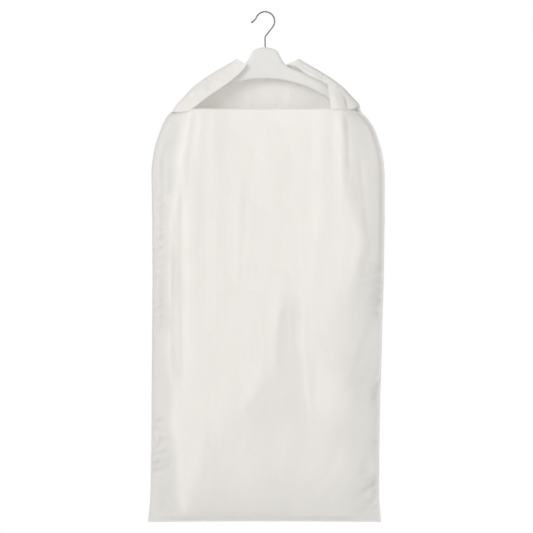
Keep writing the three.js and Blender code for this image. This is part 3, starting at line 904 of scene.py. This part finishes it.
def lay_over_front(grid):
    """Brings a corner piece's lower end forward where the front sheet would come through it."""
    bpy.context.view_layer.update()
    run = np.linspace(0.0, 1.0, CORNER_COLUMNS)
    backwards = Vector((0.0, 1.0, 0.0))
    for row in grid:
        push = 0.0
        for x, y, z in row[run > LOWER_END]:
            hit, place, _, _ = front_film.ray_cast(Vector((x * METRES, -1.0, z * METRES)), backwards)
            if hit:
                push = max(push, y - (place.y / METRES - CORNER_CLEARANCE))
        row[:, 1] -= push * ease(run, *PUSH_AT)


def bend_line(flap, bend):
    """The points where the bend at a flap's fold starts and ends, in metres."""
    joint = next(j for j in frame["joints"] if j["child"] == flap)
    pivot = Vector(joint["pos_m"])
    axis = Vector(joint["axis"]).normalized()
    inward = Vector((0.0, -1.0, 0.0)).cross(axis).normalized()
    return (pivot + inward * distance * METRES for distance in bend)


def make_corner(which, seed, grid, folds, pale, bend):
    """One piece of film from the weld to its free edge, in one fixed form. The line where it would bend at
    the flap's fold is found, but not used.
    """
    flap = which + "_flap"
    x, z = grid[:, :, 0], grid[:, :, 2]
    rows = np.linspace(0.0, 1.0, CORNER_ROWS)[:, None]
    lift = CORNER_WAVE * wave_noise(x / CORNER_WAVE_LENGTH, z / CORNER_WAVE_LENGTH, seed, octaves=3)
    for start, end, width, height in folds:
        lift += height * segment_shape(x, z, start, end, width)
    grid[:, :, 1] -= lift * ease(rows, *RELIEF_ACROSS)
    lay_over_front(grid)
    obj = closed_sheet(which + "_corner_film", grid, FRONT)
    set_attribute(obj, "paleness", pale)
    set_attribute(obj, "weld", weld_share(grid) * CORNER_WELD)
    obj.data.materials.append(film)
    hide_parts(which + "_shoulder_strip", flap)
    start, end = bend_line(flap, bend)
    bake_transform(obj)


left_grid = corner_grid(LEFT, CORNER_END, 0.0, LEFT_FREE_EDGE, LEFT_FREE_FORWARD)
left_pale = np.full(left_grid.shape[:2], LEFT_PALENESS)
make_corner("left", 10, left_grid, LEFT_CORNER_FOLDS, left_pale, LEFT_BEND)
right_grid = corner_grid(RIGHT, RIGHT_SEAM_END, RIGHT_END_DROP, RIGHT_FREE_EDGE, RIGHT_FREE_FORWARD)
# painted shade towards the right piece's outer end
right_pale = RIGHT_PALENESS - RIGHT_OUTER_SHADE * ease(right_grid[:, :, 0], *RIGHT_SHADE_AT)
make_corner("right", 12, right_grid, RIGHT_CORNER_FOLDS, right_pale, RIGHT_BEND)


# ---- Hanger, hook and sleeve ----
TIP_DRAWN_IN = 6.0  # leaves room for the film, which hangs a little to one side
BORE_GAP = 0.05  # between the hanger and the hook's sleeve
BORE_SIDES = 48
HANGER_VOXEL = 0.0018  # metres
HANGER_SMOOTHING = 14  # passes
BODY_END = 150.0  # the hanger keeps its CAD form up to here; outside it is drawn in towards its tips
CREASE_ANGLE = math.radians(50.0)


def sleeve_bore():
    """What is cut out of the hanger's head for the sleeve."""
    bore_depth = hanger_high[2] - sleeve_low[2] + BORE_GAP
    bpy.ops.mesh.primitive_cylinder_add(
        vertices=BORE_SIDES, radius=(sleeve_high[0] + BORE_GAP) * METRES, depth=2.0 * bore_depth * METRES,
        location=(0.0, 0.0, hanger_high[2] * METRES),
    )
    return bpy.context.active_object


def make_hanger():
    """The hanger's own form with its edges rounded over, as lacquered wood is."""
    obj = bpy.data.objects.new("hanger", frame["nodes"]["hanger_body"].data.copy())
    bpy.context.scene.collection.objects.link(obj)
    remesh = obj.modifiers.new("Remesh", "REMESH")
    remesh.mode = "VOXEL"
    remesh.voxel_size = HANGER_VOXEL
    smooth = obj.modifiers.new("Smooth", "SMOOTH")
    smooth.factor = 0.5
    smooth.iterations = HANGER_SMOOTHING
    bore = sleeve_bore()
    cut = obj.modifiers.new("Bore", "BOOLEAN")
    cut.operation = "DIFFERENCE"
    cut.object = bore
    evaluated = obj.evaluated_get(bpy.context.evaluated_depsgraph_get())
    rounded = bpy.data.meshes.new_from_object(evaluated)
    bpy.data.objects.remove(bore)
    for vertex in rounded.vertices:
        x = vertex.co.x / METRES
        drawn_in = TIP_DRAWN_IN * float(ease(abs(x), BODY_END, HANGER_TIP))
        vertex.co.x -= math.copysign(drawn_in * METRES, x)
    obj.modifiers.clear()
    obj.data = rounded
    obj.data.shade_smooth()
    obj.data.set_sharp_from_angle(angle=CREASE_ANGLE)
    obj.data.materials.clear()
    obj.data.materials.append(lacquer)
    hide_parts("hanger_body")
    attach(obj, "bag")


make_hanger()

WIRE_RADIUS = 1.75
WIRE_SIDES = 20
ARC_STEP = 3.0  # degrees between the rings of a bend
BOW_RADIUS = 24.5  # of the large bend that goes over the rail
BOW_CENTRE = -22.7
BOW_START = 155.9  # degrees
BOW_END = -37.9
END_RADIUS = 26.0  # of the free end, which turns the other way
END_TURN = 38.0
BEND_RADIUS = 9.0  # of the bend into the stem
STEM_LEAD = 5.0  # from that bend to the stem's first ring
BALL_RADIUS = 2.5  # the wire's free end is domed
BALL_START = 178.0  # degrees
BALL_END = 48.0
BALL_RINGS = 12
HEAD_HEIGHT = 2.4
HEAD_RADIUS = 2.6
HEAD_EDGE = 0.3
HEAD_LEAD = 0.4  # from the stem's last ring to the head


def arc(middle_x, middle_z, radius, start, end):
    """Points (x, z) along an arc between two angles in degrees."""
    count = max(2, round(abs(end - start) / ARC_STEP))
    angles = np.radians(np.linspace(start, end, count + 1))
    return np.stack([middle_x + radius * np.cos(angles), middle_z + radius * np.sin(angles)], axis=1)


def hook_path():
    """The wire's centre line as (x, z), from its free end down to the head."""
    bow = arc(0.0, BOW_CENTRE, BOW_RADIUS, BOW_START, BOW_END)
    reach = BOW_RADIUS + END_RADIUS
    turn = math.radians(BOW_START)
    end = arc(
        reach * math.cos(turn), BOW_CENTRE + reach * math.sin(turn), END_RADIUS,
        BOW_START - 180.0 - END_TURN, BOW_START - 180.0,
    )
    leave = bow[-1]
    corner = leave[1] + leave[0] / math.tan(math.radians(BOW_END))
    bend_z = corner + BEND_RADIUS * math.tan(math.radians(BOW_END / 2.0))
    bend = arc(BEND_RADIUS, bend_z, BEND_RADIUS, 180.0 + BOW_END, 180.0)
    stem = [[0.0, bend_z - STEM_LEAD], [0.0, hook_low[2] + HEAD_HEIGHT + HEAD_LEAD]]
    return np.concatenate([end[:-1], bow, bend, stem])


def domed_end(path):
    """Centre line, radii and direction of the wire's free end."""
    direction = path[1] - path[0]
    direction /= np.linalg.norm(direction)
    angles = np.radians(np.linspace(BALL_START, BALL_END, BALL_RINGS))
    line = path[0] + np.outer(BALL_RADIUS * np.cos(angles), direction)
    return line, BALL_RADIUS * np.sin(angles), direction


def hook_head():
    """Centre line and radii of the upset head that keeps the wire in its sleeve."""
    bottom = hook_low[2]
    top = bottom + HEAD_HEIGHT
    profile = (
        (top, WIRE_RADIUS), (top, HEAD_RADIUS - HEAD_EDGE), (top - HEAD_EDGE, HEAD_RADIUS),
        (bottom + HEAD_EDGE, HEAD_RADIUS), (bottom, HEAD_RADIUS - HEAD_EDGE),
    )
    return np.array([(0.0, z) for z, _ in profile]), np.array([radius for _, radius in profile])


def round_bar(line, radii, directions):
    """Points and faces of a closed round bar along a line of (x, z)."""
    points = []
    for centre, direction, radius in zip(line, directions, radii):
        for angle in np.linspace(0.0, 2.0 * math.pi, WIRE_SIDES, endpoint=False):
            out = radius * math.cos(angle)
            x = centre[0] + direction[1] * out
            z = centre[1] - direction[0] * out
            points.append((x, radius * math.sin(angle), z))
    last_ring = len(points) - WIRE_SIDES
    faces = []
    for ring in range(0, last_ring, WIRE_SIDES):
        for k in range(WIRE_SIDES):
            first = ring + k
            second = ring + (k + 1) % WIRE_SIDES
            faces.append((first, second, second + WIRE_SIDES, first + WIRE_SIDES))
    faces.append(tuple(reversed(range(WIRE_SIDES))))
    faces.append(tuple(range(last_ring, len(points))))
    return points, faces


def make_hook():
    path = hook_path()
    end_line, end_radii, end_direction = domed_end(path)
    head_line, head_radii = hook_head()
    wire = path[np.linalg.norm(path - path[0], axis=1) > BALL_RADIUS]
    line = np.concatenate([end_line, wire, head_line])
    radii = np.concatenate([end_radii, np.full(len(wire), WIRE_RADIUS), head_radii])
    ahead = np.vstack([line[1:], line[-1:]])
    behind = np.vstack([line[:1], line[:-1]])
    directions = ahead - behind
    directions[:len(end_line)] = end_direction
    directions[-len(head_line):] = (0.0, -1.0)
    directions /= np.linalg.norm(directions, axis=1)[:, None]
    obj = new_object("wire_hook", *round_bar(line, radii, directions))
    obj.data.materials.append(wire_metal)
    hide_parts("hook")
    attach(obj, "hook")


make_hook()

sleeve = frame["nodes"]["hook_bush"]
sleeve.data.materials.clear()
sleeve.data.materials.append(sleeve_metal)


# ---- Floor, light and camera ----
FLOOR_DROP = 190.0  # below the bag
FLOOR_RADIUS = 6.0  # metres
FLOOR_SIDES = 96
FLOOR_COLOUR = (0.92, 0.92, 0.91, 1.0)
FADE_START = 0.7  # metres from the bag where the floor starts to fade to the white backdrop
FADE_END = 1.15
FLOOR_GLOW = 0.5  # the floor's own share of the backdrop's white, beside the bag


def floor_material():
    """Matte and pale, fading to the white of the backdrop."""
    material, nodes, links, out, place = node_tree("pale_floor")
    length = nodes.new("ShaderNodeVectorMath")
    length.operation = "LENGTH"
    links.new(place, length.inputs[0])
    fade = nodes.new("ShaderNodeMapRange")
    fade.interpolation_type = "SMOOTHSTEP"
    fade.inputs["From Min"].default_value = FADE_START
    fade.inputs["From Max"].default_value = FADE_END
    links.new(length.outputs["Value"], fade.inputs["Value"])
    fade.inputs["To Min"].default_value = FLOOR_GLOW
    matte = nodes.new("ShaderNodeBsdfDiffuse")
    matte.inputs["Color"].default_value = FLOOR_COLOUR
    white = nodes.new("ShaderNodeEmission")
    mix = nodes.new("ShaderNodeMixShader")
    links.new(fade.outputs["Result"], mix.inputs["Fac"])
    links.new(matte.outputs["BSDF"], mix.inputs[1])
    links.new(white.outputs["Emission"], mix.inputs[2])
    links.new(mix.outputs["Shader"], out)
    return material


def make_floor():
    bpy.ops.mesh.primitive_circle_add(vertices=FLOOR_SIDES, radius=FLOOR_RADIUS, fill_type="NGON")
    floor = bpy.context.active_object
    floor.name = "floor"
    floor.location.z = (BAG_BOTTOM - FLOOR_DROP) * METRES
    floor.data.materials.append(floor_material())


SURROUND = 0.76  # brightness of the studio's surroundings as the object sees them
SURROUND_RIGHT = 0.42  # the same on the right, where they are screened off
SCREEN_START = 0.35  # where the screen starts, as the sine of the angle to the right
SCREEN_FULL = 0.85


def make_world():
    """White to the camera, a soft studio to the object."""
    world = bpy.data.worlds.new("studio")
    bpy.context.scene.world = world
    world.use_nodes = True
    nodes, links = world.node_tree.nodes, world.node_tree.links
    nodes.clear()
    out = nodes.new("ShaderNodeOutputWorld")
    background = nodes.new("ShaderNodeBackground")
    background.inputs["Color"].default_value = (1.0, 1.0, 1.0, 1.0)
    direction = nodes.new("ShaderNodeSeparateXYZ")
    links.new(nodes.new("ShaderNodeTexCoord").outputs["Generated"], direction.inputs["Vector"])
    studio = nodes.new("ShaderNodeMapRange")
    studio.interpolation_type = "SMOOTHSTEP"
    studio.inputs["From Min"].default_value = SCREEN_START
    studio.inputs["From Max"].default_value = SCREEN_FULL
    studio.inputs["To Min"].default_value = SURROUND
    studio.inputs["To Max"].default_value = SURROUND_RIGHT
    links.new(direction.outputs["X"], studio.inputs["Value"])
    strength = nodes.new("ShaderNodeMapRange")
    strength.inputs["To Max"].default_value = 1.0
    links.new(nodes.new("ShaderNodeLightPath").outputs["Is Camera Ray"], strength.inputs["Value"])
    links.new(studio.outputs["Result"], strength.inputs["To Min"])
    links.new(strength.outputs["Result"], background.inputs["Strength"])
    links.new(background.outputs["Background"], out.inputs["Surface"])


LIGHTS = (  # (name, place, the point that it faces, size, power), in metres and watts
    ("key", (-2.3, -3.0, 0.7), (0.0, 0.0, -0.75), 1.6, 56.0),
    ("fill", (2.4, -2.6, -0.9), (0.0, 0.0, -0.8), 2.0, 19.0),
    ("back", (0.7, 3.0, 0.4), (0.0, 0.0, -0.6), 2.4, 9.0),
)


def make_light(name, place, target, size, energy):
    lamp = bpy.data.lights.new(name, "AREA")
    lamp.shape = "SQUARE"
    lamp.size = size
    lamp.energy = energy
    obj = bpy.data.objects.new(name, lamp)
    bpy.context.scene.collection.objects.link(obj)
    obj.location = place
    obj.rotation_euler = (Vector(target) - Vector(place)).to_track_quat("-Z", "Y").to_euler()


CAMERA_DISTANCE = 5.0  # metres, as are the next three
FRAME_HEIGHT = 1.372  # what the picture's height spans at the bag
CAMERA_SIDE = 0.0036
CAMERA_HEIGHT = -0.654
SENSOR_WIDTH = 36.0  # millimetres


def make_camera():
    lens = bpy.data.cameras.new("camera")
    lens.sensor_width = SENSOR_WIDTH
    lens.lens = SENSOR_WIDTH * CAMERA_DISTANCE / FRAME_HEIGHT
    camera = bpy.data.objects.new("camera", lens)
    bpy.context.scene.collection.objects.link(camera)
    camera.location = (CAMERA_SIDE, -CAMERA_DISTANCE, CAMERA_HEIGHT)
    camera.rotation_euler = (math.radians(90.0), 0.0, 0.0)
    bpy.context.scene.camera = camera


make_floor()
make_world()
for light in LIGHTS:
    make_light(*light)
make_camera()
bpy.context.scene.view_settings.view_transform = "Standard"
